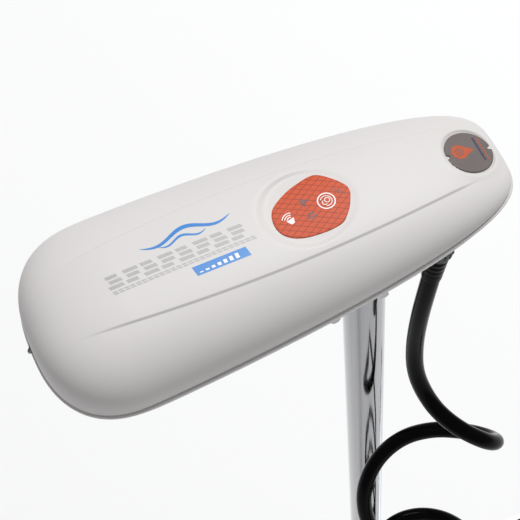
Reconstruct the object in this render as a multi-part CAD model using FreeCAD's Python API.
import FreeCAD, Part
import math
import os

# Bow-mount electric trolling motor. Millimetres, +Z up, +X towards the bow.
# The origin is the centre of the four deck bolts, on the underside of the base plate.

Vec = FreeCAD.Vector
X = Vec(1, 0, 0)
Y = Vec(0, 1, 0)
Z = Vec(0, 0, 1)

# Clearances
RUN = 0.05          # running and sliding fits, radial
SEAT = 0.3          # a part beside its seat on another body
POCKET = 0.2        # round a part that drops into a pocket

# Shaft tube
TUBE_R = 14.3
TUBE_WALL = 1.65
TUBE_LENGTH = 1372.0
TUBE_X = 240.0
TUBE_INTO_HEAD = 6.0
RIM_Z = 1090.0       # joint plane of the head's two covers, at the raised setting

# Head, with its wide end towards the bow
HEAD_LENGTH = 295.0
HEAD_HALF_WIDTH = 60.0
HEAD_HEIGHT = 37.0
PLAN_LENGTH = 295.0          # the head's size for which its inner parts' places are given
PLAN_HALF_WIDTH = 60.0
HEAD_SHAFT_SHARE = 0.70      # from the wide end to the shaft, as a share of the length
WIDEST_SHARE = 0.175
HIGHEST_SHARE = 0.19
HEAD_WALL = 3.5
HEAD_DEPTH = 20.0            # the bottom cover
GASKET = 1.0
PANEL_LENGTH = 46.0
PANEL_HALF_WIDTH = 18.0
PANEL_THICK = 1.5
PANEL_FROM_WIDE_END = 174.0
DISC_R = 15.0
DISC_THICK = 2.5
DISC_FROM_WIDE_END = 274.0
BOARD_THICK = 1.6
BOARD_Z = 4.0                # above the joint plane
SOCKET_R = 20.0
SOCKET_DEPTH = 70.0          # below the joint plane
CLAMP_BOLT_R = 3.0
CLAMP_BOLT_DEPTH = 60.0
SCREW_POST_R = 4.5

# Cord
CORD_R = 6.0
COIL_X = -15.0               # from the shaft's axis
COIL_Y = 79.0
COIL_R = 52.0
COIL_TOP = -222.0            # from the joint plane
COIL_BOTTOM = -780.0
HEAD_GLAND = (-37.0, 27.0)
GLAND_R = 9.0
HEAD_GLAND_LENGTH = 20.0
# From the shaft's axis and the head's joint plane
LEAD_POINTS = [(-37, 27, -40), (-30, 30, -72), (-24, 32, -108), (-20.5, 34, -145),
               (-21, 39, -180), (-26, 54, -212), (-31, 68, -236)]
TAIL_POINTS = [(-15, 68, -908), (-15, 67.5, -884), (-20, 63, -858), (-33, 58, -834),
               (-49, 59, -813), (-60, 69, -791), (-62, 83, -768)]

# Deck base and its two ears
BASE_BACK = -130.0
BASE_FRONT = 190.0
BASE_HALF_WIDTH = 55.0
BASE_THICK = 8.0
FLANGE_HEIGHT = 22.0
EAR_THICK = 8.0
EAR_BACK = 106.0
EAR_TOP = 85.0
DECK_BOLT_X = 200.0
DECK_BOLT_Y = 70.0
DECK_HOLE_R = 4.25

# Tilting arm
PIVOT_X = 158.0
PIVOT_Z = 62.0
PIVOT_R = 6.0
ARM_HALF_WIDTH = 44.0
ARM_BACK = 135.0
ARM_LOW = 44.0
ARM_HIGH = 80.0
ARM_FACE_X = 192.0
ARM_FACE_TOP = 150.0
FACE_THICK = 12.0
FACE_HALF = 36.0
BUSH_WALL = 2.0
LOCK_REACH = 34.0            # pivot to lock hole
LOCK_R = 5.0
LOCK_TRAVEL = 12.0
QUADRANT_R = 44.0
QUADRANT_THICK = 8.0
LOCK_CASE_R = 12.0
LOCK_CASE_END = 86.0

# Steering housing
HOUSING_R = 50.0
HOUSING_WALL = 6.0
HOUSING_LOW = 62.0
HOUSING_HIGH = 186.0
CAP_THICK = 8.0
NOSE_R = 27.0
SLEEVE_WALL = 5.65
SLEEVE_LOW = 50.0
SLEEVE_HIGH = 216.0
COLLAR_R = 30.0
COLLAR_HIGH = 240.0
KNOB_R = 13.0
KNOB_REACH = 47.0
GEAR_MODULE = 1.5
GEAR_TEETH = 48
PINION_TEETH = 12
GEAR_WIDTH = 12.0
GEAR_LOW = 118.0
BACKLASH = 0.25
STEER_MOTOR_R = 17.0
SIDE_GLAND = (-15.0, 68.0)
SIDE_GLAND_LENGTH = 22.0
LUG_DROP = 26.0       # from the cap's joint down to the gland's lug

# Lower unit
CASE_R = 44.0
CASE_WALL = 4.0
CASE_LENGTH = 126.0
CASE_SOCKET_R = 21.0
CASE_SOCKET_HEIGHT = 42.0
NOSE_LENGTH = 50.0
BELL_LENGTH = 44.0
BELL_END_R = 25.0
ROTOR_SHAFT_R = 5.0
CORE_R = 33.5
CORE_LENGTH = 70.0
CORE_SLOTS = 12
MAGNET_THICK = 5.0
BEARING_R = 13.0
BEARING_WIDTH = 9.0
SKEG_DEPTH = 72.0
PROP_R = 125.0
HUB_R = 22.0
HUB_LENGTH = 50.0
BLADES = 3
DRIVE_PIN_R = 2.5

# Places that follow from the sizes above
TUBE_TOP = RIM_Z + TUBE_INTO_HEAD
TUBE_BOTTOM = TUBE_TOP - TUBE_LENGTH
TUBE_BORE_R = TUBE_R - TUBE_WALL
HEAD_FRONT_X = TUBE_X + HEAD_SHAFT_SHARE * HEAD_LENGTH
MOTOR_Z = TUBE_BOTTOM - CASE_R - 2.0
CASE_BACK = TUBE_X - CASE_LENGTH / 2
CASE_FRONT = TUBE_X + CASE_LENGTH / 2
BELL_BACK = CASE_BACK - GASKET - BELL_LENGTH
PROP_FRONT = BELL_BACK - 6.0
PROP_BACK = PROP_FRONT - HUB_LENGTH
EAR_OUT = BASE_HALF_WIDTH
EAR_IN = BASE_HALF_WIDTH - EAR_THICK
LOCK_X = PIVOT_X - LOCK_REACH
SLEEVE_BORE_R = TUBE_R + RUN
SLEEVE_R = SLEEVE_BORE_R + SLEEVE_WALL
BUSH_R = SLEEVE_R + RUN + 4.0
GEAR_PITCH_R = GEAR_MODULE * GEAR_TEETH / 2
PINION_PITCH_R = GEAR_MODULE * PINION_TEETH / 2
PINION_X = TUBE_X + GEAR_PITCH_R + PINION_PITCH_R
COLLAR_LOW = HOUSING_HIGH + CAP_THICK + 6.0 + SEAT
REST_X = BASE_BACK + 22.0
REST_TUBE_Z = PIVOT_Z + TUBE_X - PIVOT_X      # the tube's axis once the arm is folded


# Small shape helpers

def rod(r, length, at, along=Z):
    return Part.makeCylinder(r, length, Vec(*at), along)


def ring(outer, inner, length, at, along=Z):
    return rod(outer, length, at, along).cut(rod(inner, length, at, along))


def block(low, high):
    size = [b - a for a, b in zip(low, high)]
    return Part.makeBox(size[0], size[1], size[2], Vec(*low))


def fuse(shapes):
    return shapes[0].multiFuse(shapes[1:]).removeSplitter()


def hexagon(across, length, at, along=Z):
    corners = []
    for i in range(7):
        turn = math.radians(60 * i)
        corners.append(Vec(across / math.sqrt(3) * math.cos(turn), across / math.sqrt(3) * math.sin(turn), 0))
    nut = Part.Face(Part.makePolygon(corners)).extrude(Z * length)
    nut.Placement = FreeCAD.Placement(Vec(*at), FreeCAD.Rotation(Z, along))
    return nut


def group(shapes):
    return Part.makeCompound(shapes)


def closed_curve(points):
    curve = Part.BSplineCurve()
    curve.interpolate(Points=points, PeriodicFlag=True)
    return Part.Wire(curve.toShape())


def spun(outline, at, along):
    """A solid of revolution: outline is (distance along, radius) pairs from the axis back to it."""
    points = [Vec(r, 0, d) for d, r in outline]
    face = Part.Face(Part.makePolygon(points + points[:1]))
    solid = face.revolve(Vec(0, 0, 0), Z, 360)
    solid.Placement = FreeCAD.Placement(Vec(*at), FreeCAD.Rotation(Z, along))
    return solid


# Head

def head_x(share):
    return HEAD_FRONT_X - share * HEAD_LENGTH


def half_width(share):
    if share < WIDEST_SHARE:
        return (1 - (1 - share / WIDEST_SHARE) ** 2.5) ** 0.4
    return (1 - ((share - WIDEST_SHARE) / (1 - WIDEST_SHARE)) ** 1.5) ** 0.25


def crown(share):
    if share < HIGHEST_SHARE:
        return (1 - (1 - share / HIGHEST_SHARE) ** 3) ** (1 / 3)
    return (1 - ((share - HIGHEST_SHARE) / (1 - HIGHEST_SHARE)) ** 1.4) ** (1 / 2.3)


def plan_x(a):
    """X of a place inside the head, so far from its wide end."""
    return head_x(a / PLAN_LENGTH)


def head_slice(level, inset, z):
    """The plan outline where the cover is `level` of its full height, drawn at height z."""
    start = HIGHEST_SHARE * (1 - (1 - level ** 3) ** (1 / 3))
    end = HIGHEST_SHARE + (1 - HIGHEST_SHARE) * (1 - level ** 2.3) ** (1 / 1.4)
    shrink = 1 - 2 * inset / HEAD_LENGTH
    side = []
    steps = 18
    for i in range(steps + 1):
        share = start + (end - start) * (1 - math.cos(math.pi * i / steps)) / 2
        share = min(max(share, 1e-9), 1 - 1e-9)
        rise = min(level / max(crown(share), 1e-9), 1)
        y = (HEAD_HALF_WIDTH - inset) * half_width(share) * (1 - rise ** 2.4) ** (1 / 2.6)
        if i in (0, steps):
            y = 0
        side.append((head_x(0.5 + (share - 0.5) * shrink), y))
    points = [Vec(x, y, z) for x, y in side]
    points += [Vec(x, -y, z) for x, y in side[-2:0:-1]]
    return closed_curve(points)


def head_dome(inset):
    height = HEAD_HEIGHT - inset
    levels = [0, 0.25, 0.48, 0.68, 0.83, 0.93, 0.985]
    return Part.makeLoft([head_slice(k, inset, RIM_Z + k * height) for k in levels], True, False)


def head_tray(top_inset, low_inset, top, low):
    middle = (top + low) / 2
    middle_inset = top_inset + (low_inset - top_inset) * 0.3
    wires = [head_slice(0, top_inset, RIM_Z + top), head_slice(0, middle_inset, RIM_Z + middle),
             head_slice(0, low_inset, RIM_Z + low)]
    return Part.makeLoft(wires, True, False)


def surface_frame(from_wide_end, span):
    """The place and tilt of a flat part that lies on the crown of the top cover."""
    from_wide_end = from_wide_end * HEAD_LENGTH / PLAN_LENGTH
    front = (from_wide_end - span / 2) / HEAD_LENGTH
    back = (from_wide_end + span / 2) / HEAD_LENGTH
    fall = HEAD_HEIGHT * (crown(front) - crown(back))
    middle = HEAD_HEIGHT * (crown(front) + crown(back)) / 2
    tilt = math.degrees(math.atan2(fall, span))
    place = Vec(head_x(from_wide_end / HEAD_LENGTH), 0, RIM_Z + middle)
    return FreeCAD.Placement(place, FreeCAD.Rotation(Y, -tilt))


def panel_plate(extra, thick, lift):
    """Shield outline: a round front, two shoulders and a shallow arc at the back."""
    long = PANEL_LENGTH / 2 + extra
    wide = PANEL_HALF_WIDTH + extra
    shoulder = Vec(-0.52 * long, wide, 0)
    other = Vec(-0.52 * long, -wide, 0)
    front = Part.Arc(shoulder, Vec(long, 0, 0), other)
    back_top = Vec(-long, 0.38 * wide, 0)
    back_low = Vec(-long, -0.38 * wide, 0)
    edges = [front.toShape(), Part.makeLine(other, back_low), Part.makeLine(back_low, back_top),
             Part.makeLine(back_top, shoulder)]
    plate = Part.Face(Part.Wire(edges)).extrude(Z * thick)
    plate.translate(Z * lift)
    plate.Placement = surface_frame(PANEL_FROM_WIDE_END, PANEL_LENGTH).multiply(plate.Placement)
    return plate


def disc_plate(extra, thick, lift):
    disc = rod(DISC_R + extra, thick, (0, 0, lift))
    disc.Placement = surface_frame(DISC_FROM_WIDE_END, 2 * DISC_R).multiply(disc.Placement)
    return disc


def head_screw_places():
    along = [(14, 0), (75, 49), (75, -49), (165, 46), (165, -46), (283, 0)]
    return [(plan_x(a), y * HEAD_HALF_WIDTH / PLAN_HALF_WIDTH) for a, y in along]


def head_top_cover():
    dome = head_dome(0)
    cover = dome.cut(head_dome(HEAD_WALL))
    posts = [rod(SCREW_POST_R, HEAD_HEIGHT, (x, y, RIM_Z)) for x, y in head_screw_places()]
    cover = fuse([cover] + [post.common(dome) for post in posts])
    for x, y in head_screw_places():
        cover = cover.cut(rod(2.0, 6.5, (x, y, RIM_Z)))
    cover = cover.cut(panel_plate(POCKET, 12, -PANEL_THICK))
    return cover.cut(disc_plate(POCKET, 12, -DISC_THICK + 0.8))


def head_gasket():
    outer = Part.Face(head_slice(0, 1.2, RIM_Z - GASKET))
    inner = Part.Face(head_slice(0, 3.2, RIM_Z - GASKET))
    return outer.cut(inner).extrude(Z * GASKET)


def board_posts():
    low = RIM_Z - HEAD_DEPTH
    high = RIM_Z + BOARD_Z
    places = [(35, 24), (35, -24), (185, 24), (185, -24), (262, 0)]
    return [rod(3.5, high - low, (plan_x(a), y, low)) for a, y in places]


def head_bottom_cover():
    outer = head_tray(0.8, 6.0, -GASKET, -HEAD_DEPTH)
    inner = head_tray(0.8 + HEAD_WALL, 6.0 + HEAD_WALL, -GASKET, -HEAD_DEPTH + HEAD_WALL)
    low = RIM_Z - HEAD_DEPTH
    parts = [outer.cut(inner), rod(SOCKET_R, SOCKET_DEPTH - 4, (TUBE_X, 0, RIM_Z - SOCKET_DEPTH))]
    parts += board_posts()
    parts += [rod(SCREW_POST_R, HEAD_DEPTH - GASKET, (x, y, low)) for x, y in head_screw_places()]
    cover = fuse(parts)
    cover = cover.cut(rod(TUBE_R, SOCKET_DEPTH + 20, (TUBE_X, 0, RIM_Z - SOCKET_DEPTH - 5)))
    for x, y in head_screw_places():
        cover = cover.cut(rod(2.2, HEAD_DEPTH, (x, y, low)))
    slit = block((TUBE_X + TUBE_R - 2, -1.5, RIM_Z - SOCKET_DEPTH), (TUBE_X + SOCKET_R + 1, 1.5, RIM_Z - 45))
    return cover.cut(slit).cut(clamp_bolt_hole())


def clamp_bolt_hole():
    return rod(CLAMP_BOLT_R + RUN, 4 * SOCKET_R, (TUBE_X, -2 * SOCKET_R, RIM_Z - CLAMP_BOLT_DEPTH), Y)


def clamp_bolt():
    """The bolt through the socket and the tube, with its washer and nut."""
    z = RIM_Z - CLAMP_BOLT_DEPTH
    stem = rod(CLAMP_BOLT_R, 2 * SOCKET_R + 10.5, (TUBE_X, -SOCKET_R - 1, z), Y)
    bolt = fuse([stem, hexagon(10, 4, (TUBE_X, -SOCKET_R - 4, z), Y)])
    washer = ring(6.5, CLAMP_BOLT_R, 1.2, (TUBE_X, SOCKET_R, z), Y)
    nut = hexagon(10, 5, (TUBE_X, SOCKET_R + 1.2, z), Y)
    nut = nut.cut(rod(CLAMP_BOLT_R, 9, (TUBE_X, SOCKET_R, z), Y))
    return group([bolt, washer, nut])


def head_screws():
    low = RIM_Z - HEAD_DEPTH
    screws = []
    for x, y in head_screw_places():
        screws.append(fuse([rod(2.0, HEAD_DEPTH + 6, (x, y, low)), rod(3.8, 2.4, (x, y, low - 2.4))]))
    return group(screws)


def control_board():
    z = RIM_Z + BOARD_Z
    top = z + BOARD_THICK
    places = [(45, 18, 7, 14), (45, -4, 7, 14), (66, 20, 5, 10), (105, 22, 4, 8), (140, -22, 6, 12)]
    parts = [rod(r, h, (plan_x(a), y, top)) for a, y, r, h in places]
    return group([block((plan_x(192), -36, z), (plan_x(28), 36, top))] + parts)


def compass_board():
    z = RIM_Z + BOARD_Z
    board = block((plan_x(272), -8, z), (plan_x(252), 8, z + BOARD_THICK))
    sensor = block((plan_x(265), -3, z + BOARD_THICK), (plan_x(259), 3, z + BOARD_THICK + 1.5))
    return fuse([board, sensor])


def power_module():
    low = RIM_Z - HEAD_DEPTH + HEAD_WALL
    base = block((plan_x(150), -30, low), (plan_x(62), 30, low + 4))
    fins = []
    for i in range(9):
        x = plan_x(146) + i * 10
        fins.append(block((x, -30, low + 4), (x + 2.5, 30, RIM_Z + BOARD_Z - 2)))
    return fuse([base] + fins)


def buzzer():
    return rod(7, 8, (plan_x(120), 2, RIM_Z + BOARD_Z + BOARD_THICK))


def status_leds():
    z = RIM_Z + BOARD_Z + BOARD_THICK
    places = [(164, -8), (172, 6), (178, -6), (184, 8)]
    return group([rod(2.0, 14, (plan_x(a), y, z)) for a, y in places])


def gland(x, y, z, length, down):
    """Cable gland: a hexagonal body on the wall and a round clamping nut."""
    sign = -1 if down else 1
    body = hexagon(2 * GLAND_R, length * 0.45, (x, y, z), Z * sign)
    nut = rod(GLAND_R, length * 0.35, (x, y, z + sign * length * 0.45), Z * sign)
    tip = Part.makeCone(GLAND_R, CORD_R + 1, length * 0.2, Vec(x, y, z + sign * length * 0.8), Z * sign)
    return fuse([body, nut, tip])


def head_cord_gland():
    return gland(TUBE_X + HEAD_GLAND[0], HEAD_GLAND[1], RIM_Z - HEAD_DEPTH, HEAD_GLAND_LENGTH, True)


# Cord

def cord_path(points):
    """Straight runs joined by tangent arcs, each arc as large as its two runs allow."""
    edges = []
    radii = []
    start = points[0]
    for before, corner, after in zip(points, points[1:], points[2:]):
        back = before - corner
        ahead = after - corner
        half_turn = (math.pi - back.getAngle(ahead)) / 2
        cut = 0.45 * min(back.Length, ahead.Length)
        radii.append(cut / math.tan(half_turn))
        back.normalize()
        ahead.normalize()
        inward = back + ahead
        inward.normalize()
        depth = radii[-1] / math.cos(half_turn) - radii[-1]
        first = corner + back * cut
        last = corner + ahead * cut
        edges.append(Part.makeLine(start, first))
        edges.append(Part.Arc(first, corner + inward * depth, last).toShape())
        start = last
    edges.append(Part.makeLine(start, points[-1]))
    print("cord radii", [round(r) for r in radii])
    return Part.Wire(edges)


def cord_tube(offsets, name):
    points = [Vec(TUBE_X + x, y, RIM_Z + z) for x, y, z in offsets]
    path = cord_path(points)
    section = Part.Wire(Part.makeCircle(CORD_R, points[0], points[1] - points[0]))
    tube = path.makePipeShell([section], True, False)
    print(name, "volume over section times length", round(tube.Volume / (math.pi * CORD_R ** 2 * path.Length), 4))
    return tube


def coil_box(low, high):
    return block((TUBE_X - 200, -200, RIM_Z + low), (TUBE_X + 200, 200, RIM_Z + high))


def cord_lead():
    top = RIM_Z - HEAD_DEPTH - HEAD_GLAND_LENGTH
    keep = block((TUBE_X - 200, -200, RIM_Z + COIL_TOP), (TUBE_X + 200, 200, top))
    return cord_tube(LEAD_POINTS, "cord_lead").common(keep)


def cord_coil():
    return rod(COIL_R, COIL_TOP - COIL_BOTTOM, (TUBE_X + COIL_X, COIL_Y, RIM_Z + COIL_BOTTOM))


def cord_tail():
    keep = block((TUBE_X - 200, -200, side_gland_top()), (TUBE_X + 200, 200, RIM_Z + COIL_BOTTOM))
    return cord_tube(TAIL_POINTS, "cord_tail").common(keep)


# Shaft

def shaft_tube():
    tube = ring(TUBE_R, TUBE_BORE_R, TUBE_LENGTH, (TUBE_X, 0, TUBE_BOTTOM))
    return tube.cut(clamp_bolt_hole())


def tube_grommet():
    plug = rod(TUBE_BORE_R, 8, (TUBE_X, 0, TUBE_TOP - 8))
    return plug.cut(rod(4.0, 8, (TUBE_X, 0, TUBE_TOP - 8)))


def motor_lead():
    lead = rod(4.0, TUBE_TOP + 6 - MOTOR_Z - CASE_R + 6, (TUBE_X, 0, MOTOR_Z + CASE_R - 6))
    channel = rod(CLAMP_BOLT_R + RUN, 30, (TUBE_X, -15, RIM_Z - CLAMP_BOLT_DEPTH), Y)
    return lead.cut(channel)


# Steering housing

def housing_outline(inset, low, high):
    main = rod(HOUSING_R - inset, high - low, (TUBE_X, 0, low))
    nose = rod(NOSE_R - inset, high - low, (PINION_X, 0, low))
    cheek = block((TUBE_X, -NOSE_R + inset, low), (PINION_X, NOSE_R - inset, high))
    return fuse([main, nose, cheek])


def side_gland_top():
    return HOUSING_HIGH - LUG_DROP + SIDE_GLAND_LENGTH


def steering_housing():
    body = housing_outline(0, HOUSING_LOW, HOUSING_HIGH)
    back = block((ARM_FACE_X, -FACE_HALF, HOUSING_LOW), (TUBE_X, FACE_HALF, HOUSING_HIGH))
    gland_x = TUBE_X + SIDE_GLAND[0]
    lug_top = HOUSING_HIGH - LUG_DROP
    lug = block((gland_x - 15, 30, lug_top - 34), (gland_x + 15, SIDE_GLAND[1] + 13, lug_top))
    lug = lug.makeFillet(5, [e for e in lug.Edges if e.BoundBox.YMin > SIDE_GLAND[1] and e.BoundBox.ZLength > 9])
    body = fuse([body, back, lug])
    body = body.cut(block((0, -2 * HOUSING_R, HOUSING_LOW), (ARM_FACE_X, 2 * HOUSING_R, HOUSING_HIGH)))
    body = body.cut(housing_outline(HOUSING_WALL, HOUSING_LOW + HOUSING_WALL, HOUSING_HIGH))
    body = body.cut(rod(BUSH_R, HOUSING_WALL, (TUBE_X, 0, HOUSING_LOW)))
    for x, y in cap_screw_places():
        post = rod(SCREW_POST_R, HOUSING_HIGH - HOUSING_LOW - 1, (x, y, HOUSING_LOW + 1))
        body = body.fuse(post.common(housing_outline(1, HOUSING_LOW, HOUSING_HIGH)))
        body = body.cut(rod(2.5, 20, (x, y, HOUSING_HIGH - 20)))
    for y, z in arm_bolt_places():
        body = body.cut(rod(3.0, 12, (ARM_FACE_X, y, z), X))
    body = body.cut(rod(6.0, 12, (TUBE_X, -HOUSING_R - 3, HOUSING_LOW + 24), Y))
    return body.removeSplitter()


def cap_screw_places():
    reach = HOUSING_R - 5.5
    places = [(TUBE_X + reach * math.cos(math.radians(a)), reach * math.sin(math.radians(a)))
              for a in (75, 140, 220, 285)]
    return places + [(PINION_X + NOSE_R - 5, 0)]


def housing_cap():
    cap = housing_outline(0, HOUSING_HIGH, HOUSING_HIGH + CAP_THICK)
    back = block((ARM_FACE_X, -FACE_HALF, HOUSING_HIGH), (TUBE_X, FACE_HALF, HOUSING_HIGH + CAP_THICK))
    cap = fuse([cap, back, rod(BUSH_R + 5, CAP_THICK + 4, (TUBE_X, 0, HOUSING_HIGH))])
    cap = cap.cut(rod(BUSH_R, CAP_THICK + 10, (TUBE_X, 0, HOUSING_HIGH - 2)))
    for x, y in cap_screw_places():
        cap = cap.cut(rod(2.6, CAP_THICK, (x, y, HOUSING_HIGH)))
    return cap


def cap_screws():
    screws = []
    for x, y in cap_screw_places():
        head = rod(4.5, 3, (x, y, HOUSING_HIGH + CAP_THICK))
        head = head.cut(hexagon(4, 2, (x, y, HOUSING_HIGH + CAP_THICK + 1)))
        screws.append(fuse([rod(2.5, CAP_THICK + 16, (x, y, HOUSING_HIGH - 16)), head]))
    return group(screws)


def sleeve_bushings():
    upper = ring(BUSH_R, SLEEVE_R + RUN, COLLAR_LOW - SEAT - HOUSING_HIGH + 2, (TUBE_X, 0, HOUSING_HIGH - 2))
    lower = ring(BUSH_R, SLEEVE_R + RUN, HOUSING_WALL + 10, (TUBE_X, 0, HOUSING_LOW - 2))
    shoulder = ring(BUSH_R + 2, SLEEVE_R + RUN, 2, (TUBE_X, 0, HOUSING_LOW + HOUSING_WALL))
    return group([upper, fuse([lower, shoulder])])


def steering_motor():
    low = HOUSING_LOW + HOUSING_WALL
    can = rod(STEER_MOTOR_R, GEAR_LOW - 8 - low, (PINION_X, 0, low))
    front = rod(7, 4, (PINION_X, 0, GEAR_LOW - 8))
    return fuse([can, front]).cut(rod(3 + RUN, 30, (PINION_X, 0, GEAR_LOW - 30)))


def steering_board():
    x = TUBE_X - HOUSING_R + HOUSING_WALL + 2.5
    low = HOUSING_LOW + HOUSING_WALL
    return block((x, -12, low), (x + BOARD_THICK, 12, GEAR_LOW - 12))


def housing_cord_gland():
    return gland(TUBE_X + SIDE_GLAND[0], SIDE_GLAND[1], HOUSING_HIGH - LUG_DROP, SIDE_GLAND_LENGTH, False)


def battery_lead_gland():
    y = -HOUSING_R - 3
    z = HOUSING_LOW + 24
    spigot = rod(6.0, 9, (TUBE_X, y, z), Y)
    flange = ring(10, 5, 5, (TUBE_X, -HOUSING_R - 6, z), Y)
    nut = rod(9, 9, (TUBE_X, -HOUSING_R - 15, z), Y)
    return fuse([spigot, flange, nut]).cut(rod(4.5, 40, (TUBE_X, -HOUSING_R - 18, z), Y))


# Drive sleeve and its gears

def involute_point(base_r, roll):
    return (base_r * (math.cos(roll) + roll * math.sin(roll)), base_r * (math.sin(roll) - roll * math.cos(roll)))


def turned(point, angle):
    c = math.cos(angle)
    s = math.sin(angle)
    return Vec(point[0] * c - point[1] * s, point[0] * s + point[1] * c, 0)


def gear(teeth, bore, width, phase):
    """Spur gear with involute flanks at 20 degrees, thinned by the backlash."""
    pitch_r = GEAR_MODULE * teeth / 2
    base_r = pitch_r * math.cos(math.radians(20))
    tip_r = pitch_r + GEAR_MODULE
    root_r = pitch_r - 1.25 * GEAR_MODULE
    to_pitch = math.tan(math.radians(20)) - math.radians(20)
    half_tooth = math.pi / (2 * teeth) - BACKLASH / (4 * pitch_r) + to_pitch
    low_roll = 0 if base_r > root_r else math.sqrt((root_r / base_r) ** 2 - 1)
    high_roll = math.sqrt((tip_r / base_r) ** 2 - 1)
    blank = rod(root_r, width, (0, 0, 0))
    solids = [blank]
    for i in range(teeth):
        middle = phase + 2 * math.pi * i / teeth
        flank = []
        for k in range(5):
            roll = low_roll + (high_roll - low_roll) * k / 4
            flank.append(involute_point(base_r, roll))
        left = [turned(p, middle - half_tooth) for p in flank]
        right = [turned((p[0], -p[1]), middle + half_tooth) for p in flank]
        inner = [Vec(p.x, p.y, 0) * ((root_r - 0.6) / p.Length) for p in (right[0], left[0])]
        outline = [inner[1]] + left + right[::-1] + [inner[0]]
        solids.append(Part.Face(Part.makePolygon(outline + outline[:1])).extrude(Z * width))
    return fuse(solids).cut(rod(bore, width, (0, 0, 0)))


def drive_gear():
    wheel = gear(GEAR_TEETH, SLEEVE_R, GEAR_WIDTH, 0)
    wheel.translate(Vec(TUBE_X, 0, GEAR_LOW))
    return wheel


def steering_pinion():
    pinion = gear(PINION_TEETH, 2.5, GEAR_WIDTH + 2, math.pi / PINION_TEETH)
    pinion.translate(Vec(PINION_X, 0, GEAR_LOW - 1))
    axle = rod(3, GEAR_WIDTH + 26, (PINION_X, 0, GEAR_LOW - 22))
    return fuse([pinion, axle])


def drive_sleeve():
    sleeve = ring(SLEEVE_R, SLEEVE_BORE_R, SLEEVE_HIGH - SLEEVE_LOW, (TUBE_X, 0, SLEEVE_LOW))
    return sleeve


def sleeve_ring():
    return ring(SLEEVE_R + 5, SLEEVE_R, HOUSING_LOW - 2 - SEAT - SLEEVE_LOW - 4, (TUBE_X, 0, SLEEVE_LOW + 4))


def depth_collar():
    collar = rod(COLLAR_R, COLLAR_HIGH - COLLAR_LOW, (TUBE_X, 0, COLLAR_LOW))
    collar = collar.cut(rod(SLEEVE_R, SLEEVE_HIGH - COLLAR_LOW, (TUBE_X, 0, COLLAR_LOW)))
    collar = collar.cut(rod(TUBE_R + SEAT, COLLAR_HIGH - COLLAR_LOW, (TUBE_X, 0, COLLAR_LOW)))
    rim = [e for e in collar.Edges if abs(e.BoundBox.ZMin - COLLAR_HIGH) < 0.01 and e.BoundBox.XLength > 50]
    collar = collar.makeFillet(2, rim)
    return collar.cut(rod(4 + RUN, COLLAR_R, (TUBE_X, 0, knob_z()), -X))


def knob_z():
    return (SLEEVE_HIGH + COLLAR_HIGH) / 2


def collar_knob():
    x = TUBE_X - COLLAR_R - SEAT
    stud = rod(4, COLLAR_R - TUBE_R - 1, (x + COLLAR_R - TUBE_R - 1, 0, knob_z()), -X)
    length = KNOB_REACH - COLLAR_R - SEAT
    knob = rod(KNOB_R - 2, length, (x, 0, knob_z()), -X)
    lobes = []
    for i in range(6):
        turn = math.radians(60 * i)
        at = (x, (KNOB_R - 3) * math.cos(turn), knob_z() + (KNOB_R - 3) * math.sin(turn))
        lobes.append(rod(3, length, at, -X))
    return fuse([stud, knob] + lobes)


# Arm and base

def arm_bolt_places():
    return [(y, z) for y in (-20, 20) for z in (ARM_HIGH + 12, ARM_FACE_TOP - 12)]


def swing_arm():
    beam = block((ARM_BACK, -ARM_HALF_WIDTH, ARM_LOW), (ARM_FACE_X - FACE_THICK, ARM_HALF_WIDTH, ARM_HIGH))
    face = block((ARM_FACE_X - FACE_THICK, -FACE_HALF, ARM_LOW), (ARM_FACE_X, FACE_HALF, ARM_FACE_TOP))
    web = []
    for y in (-36, -3, 30):
        corners = [Vec(ARM_FACE_X - FACE_THICK, y, ARM_HIGH), Vec(PIVOT_X + 4, y, ARM_HIGH),
                   Vec(ARM_FACE_X - FACE_THICK, y, ARM_FACE_TOP - 8)]
        web.append(Part.Face(Part.makePolygon(corners + corners[:1])).extrude(Y * 6))
    sector = Part.makeCylinder(QUADRANT_R, QUADRANT_THICK, Vec(PIVOT_X, ARM_HALF_WIDTH, PIVOT_Z), -Y)
    back = block((PIVOT_X - QUADRANT_R - 9, 0, PIVOT_Z - 10), (PIVOT_X + 10, 60, PIVOT_Z + QUADRANT_R + 9))
    arm = fuse([beam, face] + web + [sector.common(back)])
    arm = arm.cut(block((ARM_BACK + 8, -ARM_HALF_WIDTH + 8, ARM_LOW), (ARM_FACE_X - 20, ARM_HALF_WIDTH - 12,
                                                                     PIVOT_Z - PIVOT_R - 6)))
    arm = arm.cut(rod(PIVOT_R + BUSH_WALL, 2 * ARM_HALF_WIDTH, (PIVOT_X, -ARM_HALF_WIDTH, PIVOT_Z), Y))
    for x, z in ((LOCK_X, PIVOT_Z), (PIVOT_X, PIVOT_Z + LOCK_REACH)):
        arm = arm.cut(rod(LOCK_R + SEAT, 20, (x, ARM_HALF_WIDTH - 18, z), Y))
    for y, z in arm_bolt_places():
        arm = arm.cut(rod(3.3, 12, (ARM_FACE_X - FACE_THICK, y, z), X))
    return arm


def arm_bolts():
    bolts = []
    for y, z in arm_bolt_places():
        stem = rod(3.0, 22, (ARM_FACE_X - FACE_THICK, y, z), X)
        bolts.append(fuse([stem, hexagon(10, 4, (ARM_FACE_X - 16, y, z), X)]))
    return group(bolts)


def pivot_bushings():
    bushes = []
    for sign in (-1, 1):
        start = sign * (ARM_HALF_WIDTH - 20)
        barrel = ring(PIVOT_R + BUSH_WALL, PIVOT_R + RUN, 20, (PIVOT_X, start, PIVOT_Z), Y * sign)
        flange = ring(PIVOT_R + 5, PIVOT_R + RUN, 2.5, (PIVOT_X, sign * ARM_HALF_WIDTH, PIVOT_Z), Y * sign)
        bushes.append(fuse([barrel, flange]))
    return group(bushes)


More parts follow.
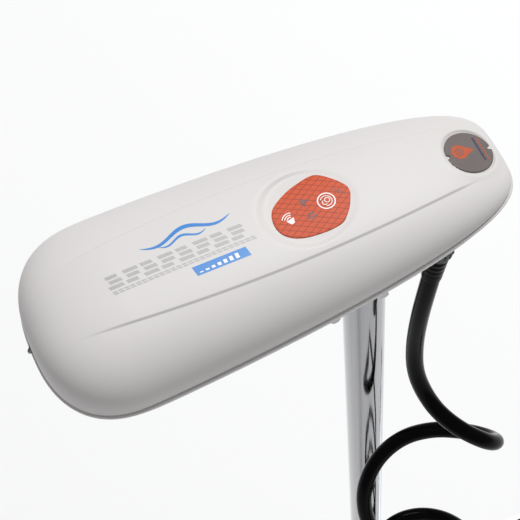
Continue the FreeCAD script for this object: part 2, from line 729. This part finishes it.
def pivot_pin():
    """The pin and the open ring that keeps it in."""
    pin = rod(PIVOT_R, 2 * EAR_OUT + 6, (PIVOT_X, -EAR_OUT, PIVOT_Z), Y)
    head = rod(PIVOT_R + 4, 4, (PIVOT_X, -EAR_OUT - 4, PIVOT_Z), Y)
    groove = ring(PIVOT_R, PIVOT_R - 1, 1.2, (PIVOT_X, EAR_OUT + 0.2, PIVOT_Z), Y)
    clip = ring(PIVOT_R + 3, PIVOT_R - 1, 1.2, (PIVOT_X, EAR_OUT + 0.2, PIVOT_Z), Y)
    clip = clip.cut(block((PIVOT_X - 3, EAR_OUT, PIVOT_Z), (PIVOT_X + 3, EAR_OUT + 3, PIVOT_Z + 12)))
    return group([fuse([pin, head]).cut(groove), clip])


def ear(sign):
    low = min(sign * EAR_IN, sign * EAR_OUT)
    corners = [Vec(EAR_BACK, low, 0), Vec(BASE_FRONT, low, 0), Vec(BASE_FRONT, low, 40),
               Vec(PIVOT_X + 22, low, EAR_TOP), Vec(LOCK_X - 10, low, EAR_TOP), Vec(EAR_BACK, low, 50)]
    return Part.Face(Part.makePolygon(corners + corners[:1])).extrude(Y * EAR_THICK)


def base_plate():
    plate = block((BASE_BACK, -BASE_HALF_WIDTH, 0), (BASE_FRONT, BASE_HALF_WIDTH, BASE_THICK))
    flanges = []
    for sign in (-1, 1):
        low = min(sign * (BASE_HALF_WIDTH - 5), sign * BASE_HALF_WIDTH)
        flanges.append(block((BASE_BACK, low, 0), (EAR_BACK + 5, low + 5, FLANGE_HEIGHT)))
    base = fuse([plate, ear(-1), ear(1)] + flanges)
    upright = [e for e in base.Edges if e.BoundBox.ZLength > 7 and e.BoundBox.XLength < 0.01
               and e.BoundBox.YLength < 0.01 and e.BoundBox.XMin < BASE_BACK + 1
               and abs(e.BoundBox.YMin) > BASE_HALF_WIDTH - 1]
    base = base.makeFillet(4, upright)
    for x, y in deck_bolt_places():
        base = base.cut(rod(DECK_HOLE_R, BASE_THICK, (x, y, 0)))
    base = base.cut(rod(PIVOT_R, 2 * EAR_OUT, (PIVOT_X, -EAR_OUT, PIVOT_Z), Y))
    base = base.cut(rod(LOCK_CASE_R - 3, EAR_THICK, (LOCK_X, EAR_IN, PIVOT_Z), Y))
    return base


def deck_bolt_places():
    return [(sx * DECK_BOLT_X / 2, sy * DECK_BOLT_Y / 2) for sx in (-1, 1) for sy in (-1, 1)]


def stop_pad():
    return block((PIVOT_X + 24, -30, BASE_THICK), (BASE_FRONT, 30, ARM_LOW - SEAT))


def shaft_rest():
    half = 20
    foot = block((REST_X - 10, -half, BASE_THICK), (REST_X + 10, half, BASE_THICK + 8))
    post = block((REST_X - 8, -12, BASE_THICK), (REST_X + 8, 12, REST_TUBE_Z - TUBE_R - 20))
    fork = block((REST_X - 8, -half, REST_TUBE_Z - TUBE_R - 20), (REST_X + 8, half, REST_TUBE_Z - 2))
    rest = fuse([foot, post, fork])
    return rest.cut(rod(TUBE_R + SEAT + 3, 30, (REST_X - 15, 0, REST_TUBE_Z), X))


def rest_pad():
    pad = ring(TUBE_R + SEAT + 3, TUBE_R + SEAT, 16, (REST_X - 8, 0, REST_TUBE_Z), X)
    return pad.common(block((REST_X - 20, -40, 0), (REST_X + 20, 40, REST_TUBE_Z - 2)))


# Tilt lock

def lock_case():
    thread = rod(LOCK_CASE_R - 3, EAR_THICK + 1, (LOCK_X, EAR_IN, PIVOT_Z), Y)
    barrel = rod(LOCK_CASE_R, LOCK_CASE_END - EAR_OUT, (LOCK_X, EAR_OUT, PIVOT_Z), Y)
    case = fuse([thread, barrel])
    case = case.cut(rod(LOCK_R + RUN, 60, (LOCK_X, EAR_IN - 1, PIVOT_Z), Y).common(
        block((0, EAR_IN - 1, 0), (400, EAR_IN + 2, 200))))
    case = case.cut(rod(7.5, LOCK_CASE_END - 4 - EAR_IN - 2, (LOCK_X, EAR_IN + 2, PIVOT_Z), Y))
    return case.cut(rod(3.5 + RUN, 10, (LOCK_X, LOCK_CASE_END - 6, PIVOT_Z), Y))


def lock_flange_y():
    return EAR_IN + 2.5 + LOCK_TRAVEL


def lock_pin():
    tip = EAR_IN - 1
    flange = lock_flange_y()
    nose = rod(LOCK_R, flange - tip, (LOCK_X, tip, PIVOT_Z), Y)
    collar = rod(7.2, 2, (LOCK_X, flange, PIVOT_Z), Y)
    stem = rod(3.5, LOCK_CASE_END + LOCK_TRAVEL + 6 - flange, (LOCK_X, flange, PIVOT_Z), Y)
    knob_start = LOCK_CASE_END + LOCK_TRAVEL + 0.5
    knob = rod(11, 16, (LOCK_X, knob_start, PIVOT_Z), Y)
    edges = [e for e in knob.Edges if e.BoundBox.YLength < 0.01]
    knob = knob.makeFillet(2, edges).cut(rod(3.5, 5.5, (LOCK_X, knob_start, PIVOT_Z), Y))
    return group([fuse([nose, collar, stem]), knob])


def lock_spring():
    wire_r = 0.7
    start = lock_flange_y() + 2 + wire_r + 0.1
    end = LOCK_CASE_END - 4 - wire_r - 0.1
    turns = 5
    helix = Part.makeHelix((end - start) / turns, end - start, 5.8)
    section = Part.Wire(Part.makeCircle(wire_r, Vec(5.8, 0, 0), Y))
    spring = Part.Wire(helix).makePipeShell([section], True, True)
    spring.Placement = FreeCAD.Placement(Vec(LOCK_X, start, PIVOT_Z), FreeCAD.Rotation(Z, Y))
    return spring


# Lower unit

def motor_case():
    barrel = rod(CASE_R, CASE_LENGTH, (CASE_BACK, 0, MOTOR_Z), X)
    socket = rod(CASE_SOCKET_R, CASE_R + CASE_SOCKET_HEIGHT, (TUBE_X, 0, MOTOR_Z))
    skirt = Part.makeCone(CASE_SOCKET_R + 9, CASE_SOCKET_R, 22, Vec(TUBE_X, 0, MOTOR_Z + CASE_R - 8))
    case = fuse([barrel, socket, skirt])
    case = case.cut(rod(CASE_R - CASE_WALL, CASE_LENGTH, (CASE_BACK, 0, MOTOR_Z), X))
    case = case.cut(rod(TUBE_R, CASE_SOCKET_HEIGHT, (TUBE_X, 0, TUBE_BOTTOM)))
    return case.cut(rod(5, 20, (TUBE_X, 0, MOTOR_Z + CASE_R - 10)))


def bolt_places():
    turn = math.radians(15)
    reach = CASE_R - CASE_WALL - 3
    return [(sy * reach * math.sin(turn), MOTOR_Z + sz * reach * math.cos(turn))
            for sy in (-1, 1) for sz in (-1, 1)]


def dome_profile(length, big, small):
    """Quarter ellipse from the big radius at 0 to the small one at the end."""
    steps = 8
    points = []
    for i in range(steps + 1):
        turn = math.pi / 2 * i / steps
        points.append((length * math.sin(turn), small + (big - small) * math.cos(turn)))
    return points


def nose_cone():
    start = CASE_FRONT + GASKET
    outer = spun([(0, 0)] + dome_profile(NOSE_LENGTH, CASE_R, 0), (start, 0, MOTOR_Z), X)
    inner = spun([(0, 0)] + dome_profile(NOSE_LENGTH - 8, CASE_R - CASE_WALL, 0), (start, 0, MOTOR_Z), X)
    seat = rod(BEARING_R + 4, NOSE_LENGTH - 10, (start + 12, 0, MOTOR_Z), X).common(outer)
    seat = seat.cut(rod(BEARING_R, BEARING_WIDTH, (start + 12, 0, MOTOR_Z), X))
    nose = fuse([outer.cut(inner), seat])
    nose = nose.cut(rod(ROTOR_SHAFT_R + 1, 8, (start + 12 + BEARING_WIDTH, 0, MOTOR_Z), X))
    pads = [rod(5, 14, (start, y, z), X).common(outer) for y, z in bolt_places()]
    nose = fuse([nose] + pads)
    for y, z in bolt_places():
        nose = nose.cut(rod(2.5, 10, (start, y, z), X))
    return nose


def rear_bell():
    start = CASE_BACK - GASKET
    outer = spun([(0, 0), (0, CASE_R)] + [(d, r) for d, r in dome_profile(BELL_LENGTH, CASE_R, BELL_END_R)[1:]]
                 + [(BELL_LENGTH, 0)], (start, 0, MOTOR_Z), -X)
    inner = spun([(0, 0), (0, CASE_R - CASE_WALL)]
                 + [(d, r) for d, r in dome_profile(BELL_LENGTH - 20, CASE_R - CASE_WALL, BELL_END_R - 6)[1:]]
                 + [(BELL_LENGTH - 20, 0)], (start, 0, MOTOR_Z), -X)
    bell = outer.cut(inner)
    bell = bell.cut(rod(BEARING_R, BEARING_WIDTH, (start - BELL_LENGTH + 20, 0, MOTOR_Z), -X))
    bell = bell.cut(rod(ROTOR_SHAFT_R + SEAT, BELL_LENGTH, (start, 0, MOTOR_Z), -X))
    bell = bell.cut(rod(11, 6, (BELL_BACK, 0, MOTOR_Z), X))
    pads = [rod(5, 16, (start, y, z), -X).common(outer) for y, z in bolt_places()]
    bell = fuse([bell] + pads)
    for y, z in bolt_places():
        bell = bell.cut(rod(2.7, BELL_LENGTH, (start, y, z), -X))
        bell = bell.cut(rod(4.6, BELL_LENGTH, (start - 10, y, z), -X))
    return bell


def through_bolts():
    start = CASE_BACK - GASKET - 10
    bolts = []
    for y, z in bolt_places():
        stem = rod(2.5, CASE_LENGTH + 2 * GASKET + 19, (start, y, z), X)
        bolts.append(fuse([stem, rod(4.4, 4, (start - 4, y, z), X)]))
    return group(bolts)


def motor_seals():
    seals = []
    for x in (CASE_BACK - GASKET, CASE_FRONT):
        seals.append(ring(CASE_R - 0.8, CASE_R - CASE_WALL + 0.6, GASKET, (x, 0, MOTOR_Z), X))
    lip_seal = ring(11, ROTOR_SHAFT_R + RUN, 5, (BELL_BACK, 0, MOTOR_Z), X)
    return group(seals + [lip_seal])


def magnets():
    outer = CASE_R - CASE_WALL
    arcs = []
    for sign in (-1, 1):
        arc = ring(outer, outer - MAGNET_THICK, CORE_LENGTH + 8, (TUBE_X - CORE_LENGTH / 2 - 4, 0, MOTOR_Z), X)
        keep = block((0, 0, MOTOR_Z - 33), (600, 60, MOTOR_Z + 33))
        if sign < 0:
            keep = keep.mirror(Vec(0, 0, 0), Y)
        arcs.append(arc.common(keep))
    return group(arcs)


def brush_plate():
    """The insulating plate and its two carbon brushes."""
    x = TUBE_X + CORE_LENGTH / 2 + 17
    holes = [rod(3.2, 5, (x - 4, y, z), X) for y, z in bolt_places()]
    plate = ring(CASE_R - CASE_WALL, 24, 3, (x - 3, 0, MOTOR_Z), X).cut(group(holes))
    inner = commutator_r() + SEAT
    blocks = []
    for sign in (-1, 1):
        reach = sorted((sign * inner, sign * 30))
        blocks.append(block((x, reach[0], MOTOR_Z - 4), (x + 7, reach[1], MOTOR_Z + 4)))
    curve = rod(inner, 20, (x - 5, 0, MOTOR_Z), X)
    return group([plate] + [b.cut(curve) for b in blocks])


def motor_bearings():
    rear = CASE_BACK - GASKET - BELL_LENGTH + 20 - BEARING_WIDTH
    front = CASE_FRONT + GASKET + 12
    return group([ring(BEARING_R, ROTOR_SHAFT_R + RUN, BEARING_WIDTH, (x, 0, MOTOR_Z), X) for x in (rear, front)])


def skeg():
    top = MOTOR_Z - CASE_R
    corners = [Vec(TUBE_X - 40, -3, top + 8), Vec(TUBE_X + 42, -3, top + 8), Vec(TUBE_X + 20, -3, top - 30),
               Vec(TUBE_X - 18, -3, top - SKEG_DEPTH), Vec(TUBE_X - 46, -3, top - SKEG_DEPTH)]
    fin = Part.Face(Part.makePolygon(corners + corners[:1])).extrude(Y * 6)
    foot = block((TUBE_X - 40, -10, top - 3), (TUBE_X + 42, 10, top + 8))
    return fuse([fin, foot]).cut(rod(CASE_R, 200, (TUBE_X - 100, 0, MOTOR_Z), X))


def commutator_r():
    return 13.0


def armature_core():
    start = TUBE_X - CORE_LENGTH / 2
    core = rod(CORE_R, CORE_LENGTH, (start, 0, MOTOR_Z), X)
    slots = []
    for i in range(CORE_SLOTS):
        slot = block((start - 1, -2, CORE_R - 12), (start + CORE_LENGTH + 1, 2, CORE_R + 1))
        slot.rotate(Vec(0, 0, 0), X, 360.0 * i / CORE_SLOTS)
        slot.translate(Z * MOTOR_Z)
        slots.append(slot)
    return core.cut(group(slots)).cut(rod(ROTOR_SHAFT_R, CORE_LENGTH, (start, 0, MOTOR_Z), X))


def armature_windings():
    starts = (TUBE_X - CORE_LENGTH / 2 - 12, TUBE_X + CORE_LENGTH / 2)
    return group([ring(30, 12, 12, (x, 0, MOTOR_Z), X) for x in starts])


def commutator():
    start = TUBE_X + CORE_LENGTH / 2 + 12
    drum = ring(commutator_r(), ROTOR_SHAFT_R, 18, (start, 0, MOTOR_Z), X)
    cuts = []
    for i in range(CORE_SLOTS):
        cut = block((start - 1, -0.4, commutator_r() - 2), (start + 19, 0.4, commutator_r() + 1))
        cut.rotate(Vec(0, 0, 0), X, 360.0 * i / CORE_SLOTS)
        cut.translate(Z * MOTOR_Z)
        cuts.append(cut)
    return drum.cut(group(cuts))


def rotor_shaft():
    front = CASE_FRONT + GASKET + 12 + BEARING_WIDTH + 4
    shaft = rod(ROTOR_SHAFT_R, front - PROP_BACK + 12, (PROP_BACK - 12, 0, MOTOR_Z), X)
    return shaft.cut(drive_pin())


def drive_pin():
    return rod(DRIVE_PIN_R, 30, (PROP_FRONT - 5, 0, MOTOR_Z - 15), Z)


def blade():
    """One swept blade as a loft through thin lens sections from the root to the tip."""
    wires = []
    steps = 6
    for i in range(steps):
        part = i / (steps - 1)
        r = HUB_R - 5 + (PROP_R - HUB_R + 5) * part
        chord = 30 + 34 * math.sin(math.pi * (0.15 + 0.7 * part)) - 26 * part ** 2
        thick = 6.5 - 4.5 * part
        pitch = math.atan2(105, 2 * math.pi * max(r, 20))
        sweep = 42 * part ** 1.6
        points = []
        for k in range(12):
            turn = 2 * math.pi * k / 12
            along = chord / 2 * math.cos(turn)
            across = thick / 2 * math.sin(turn)
            side = along * math.cos(pitch) - across * math.sin(pitch) - sweep
            axial = along * math.sin(pitch) + across * math.cos(pitch)
            points.append(Vec(axial, side, r))
        wires.append(closed_curve(points))
    return Part.makeLoft(wires, True, False)


def propeller():
    middle = (PROP_FRONT + PROP_BACK) / 2
    hub = spun([(0, 0), (0, HUB_R), (HUB_LENGTH - 14, HUB_R), (HUB_LENGTH - 6, HUB_R - 3),
                (HUB_LENGTH, HUB_R - 8), (HUB_LENGTH, 0)], (PROP_FRONT, 0, MOTOR_Z), -X)
    blades = []
    for i in range(BLADES):
        one = blade()
        one.rotate(Vec(0, 0, 0), X, 360.0 * i / BLADES)
        one.translate(Vec(middle, 0, MOTOR_Z))
        blades.append(one)
    prop = fuse([hub] + blades)
    prop = prop.cut(rod(ROTOR_SHAFT_R, HUB_LENGTH, (PROP_FRONT, 0, MOTOR_Z), -X))
    slot = block((PROP_FRONT - 8, -DRIVE_PIN_R, MOTOR_Z - 15.5), (PROP_FRONT, DRIVE_PIN_R, MOTOR_Z + 15.5))
    return prop.cut(slot)


def prop_nut():
    """The nut and the washer under it."""
    washer = ring(10, ROTOR_SHAFT_R, 1.5, (PROP_BACK, 0, MOTOR_Z), -X)
    nut = hexagon(17, 9, (PROP_BACK - 1.5, 0, MOTOR_Z), -X)
    return group([washer, nut.cut(rod(ROTOR_SHAFT_R, 20, (PROP_BACK, 0, MOTOR_Z), -X))])


def status_panel():
    return panel_plate(0, PANEL_THICK, -PANEL_THICK)


def compass_cover():
    return disc_plate(0, DISC_THICK, -DISC_THICK + 0.8)


PIECES = [
    base_plate, pivot_pin, stop_pad, shaft_rest, rest_pad, lock_case, lock_spring, lock_pin,
    swing_arm, arm_bolts, pivot_bushings, steering_housing, housing_cap, cap_screws,
    sleeve_bushings, steering_motor, steering_board, housing_cord_gland, battery_lead_gland,
    steering_pinion, drive_sleeve, drive_gear, sleeve_ring, depth_collar, collar_knob,
    shaft_tube, tube_grommet, motor_lead, head_bottom_cover, head_gasket, head_top_cover,
    status_panel, compass_cover, control_board, power_module, compass_board, buzzer,
    status_leds, head_screws, clamp_bolt, head_cord_gland, cord_lead, cord_coil, cord_tail,
    motor_case, nose_cone, rear_bell, through_bolts, motor_seals, magnets, brush_plate,
    motor_bearings, skeg, armature_core, armature_windings, commutator, rotor_shaft, drive_pin,
    propeller, prop_nut,
]

os.makedirs("parts", exist_ok=True)
for piece in PIECES:
    shape = piece()
    solids = shape.Solids
    print(piece.__name__, len(solids), shape.isValid(), round(shape.Volume / 1000, 2))
    shape.exportStep("parts/" + piece.__name__ + ".step")
